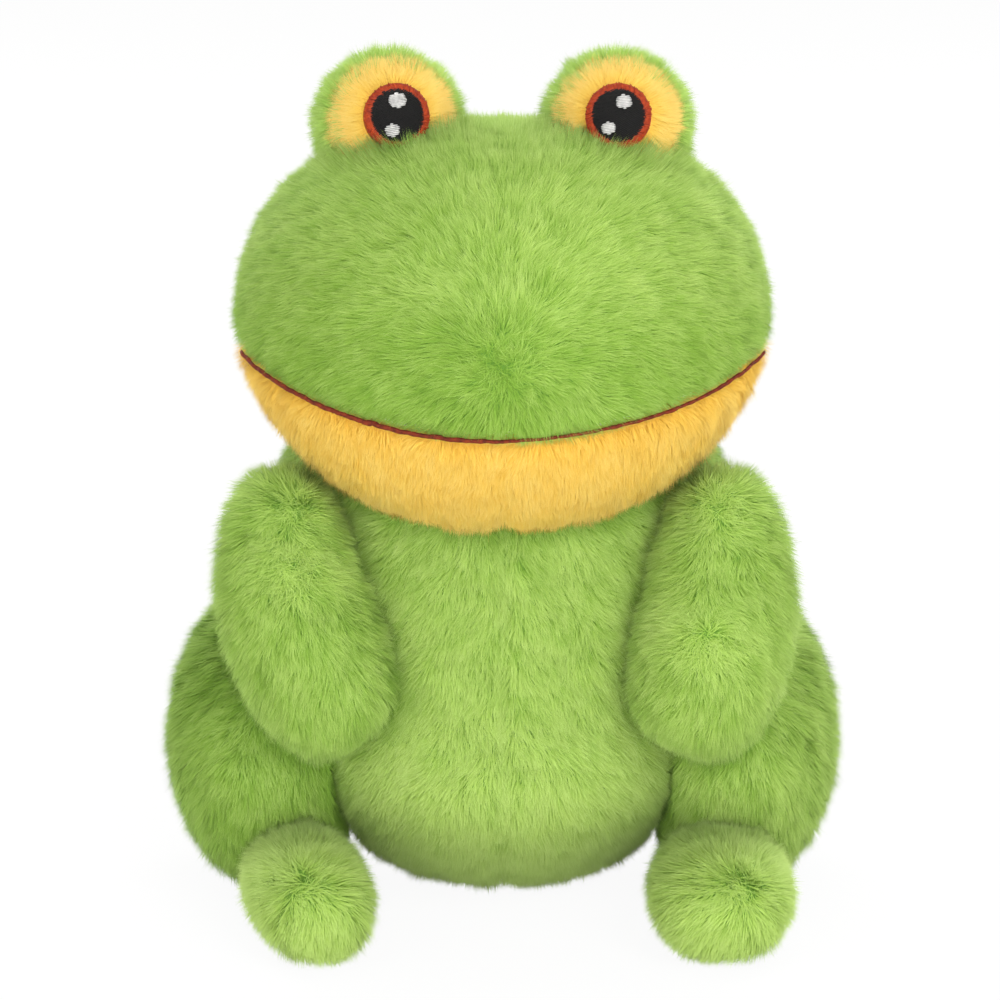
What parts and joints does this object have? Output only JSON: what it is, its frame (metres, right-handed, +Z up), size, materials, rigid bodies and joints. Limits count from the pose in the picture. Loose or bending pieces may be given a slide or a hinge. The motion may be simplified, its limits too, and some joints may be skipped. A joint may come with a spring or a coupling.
{
  "type": "plush frog",
  "caption": "seated plush frog with a round head, eye mounds on top, a pale throat, arms hanging in front and folded legs with feet forward; sewn fur covers over stuffing",
  "frame": {"origin": "centre of the bounding box's bottom face, on the surface that the frog sits on", "axes": "+X to the frog's own left, -Y the way that it faces, +Z up"},
  "size_m": [0.1792, 0.1372, 0.229],
  "materials": {
    "green_plush": "long-pile plush, nap combed down",
    "yellow_plush": "dense long-pile plush, smooth",
    "red_thread": "satin-stitched embroidery thread",
    "black_thread": "satin-stitched embroidery thread",
    "grey_thread": "satin-stitched embroidery thread",
    "brown_thread": "embroidery thread",
    "wadding": "loose polyester fibre",
    "pouch_cloth": "plain woven cloth filled with pellets"
  },
  "bodies": {
    "torso": {"torso_cover_front_left": "green_plush", "torso_cover_front_right": "green_plush", "torso_cover_back_left": "green_plush", "torso_cover_back_right": "green_plush", "torso_stuffing": "wadding", "pellet_pouch": "pouch_cloth"},
    "head": {"head_cover_left": "green_plush", "head_cover_right": "green_plush", "chin_cover_left": "yellow_plush", "chin_cover_right": "yellow_plush", "head_stuffing": "wadding", "mouth_line": "brown_thread", "eye_patch_left": "yellow_plush", "eye_mound_left": "green_plush", "eye_stuffing_left": "wadding", "iris_ring_left": "red_thread", "pupil_left": "black_thread", "glint_upper_left": "grey_thread", "glint_lower_left": "grey_thread", "eye_patch_right": "yellow_plush", "eye_mound_right": "green_plush", "eye_stuffing_right": "wadding", "iris_ring_right": "red_thread", "pupil_right": "black_thread", "glint_upper_right": "grey_thread", "glint_lower_right": "grey_thread"},
    "arm_left": {"arm_cover_left_front": "green_plush", "arm_cover_left_back": "green_plush", "arm_stuffing_left": "wadding"},
    "arm_right": {"arm_cover_right_front": "green_plush", "arm_cover_right_back": "green_plush", "arm_stuffing_right": "wadding"},
    "leg_left": {"leg_cover_left_outer": "green_plush", "leg_cover_left_inner": "green_plush", "leg_stuffing_left": "wadding", "foot_cover_left": "green_plush", "foot_stuffing_left": "wadding"},
    "leg_right": {"leg_cover_right_outer": "green_plush", "leg_cover_right_inner": "green_plush", "leg_stuffing_right": "wadding", "foot_cover_right": "green_plush", "foot_stuffing_right": "wadding"}
  },
  "joints": [
    {"name": "neck_turn", "type": "hinge", "parent": "torso", "child": "head", "pos_m": [0, 0.02535, 0.145], "axis": [0, 0, 1], "range_deg": [-12, 12], "stiffness_Nm_per_rad": 0.15},
    {"name": "shoulder_left", "type": "hinge", "parent": "torso", "child": "arm_left", "pos_m": [0.054, -0.01065, 0.112], "axis": [-1, 0, 0], "range_deg": [0, 55], "stiffness_Nm_per_rad": 0.03},
    {"name": "shoulder_right", "type": "hinge", "parent": "torso", "child": "arm_right", "pos_m": [-0.054, -0.01065, 0.112], "axis": [-1, 0, 0], "range_deg": [0, 55], "stiffness_Nm_per_rad": 0.03},
    {"name": "hip_left", "type": "hinge", "parent": "torso", "child": "leg_left", "pos_m": [0.05, 0.05735, 0.041], "axis": [0, 0, 1], "range_deg": [0, 25], "stiffness_Nm_per_rad": 0.06},
    {"name": "hip_right", "type": "hinge", "parent": "torso", "child": "leg_right", "pos_m": [-0.05, 0.05735, 0.041], "axis": [0, 0, -1], "range_deg": [0, 25], "stiffness_Nm_per_rad": 0.06}
  ]
}
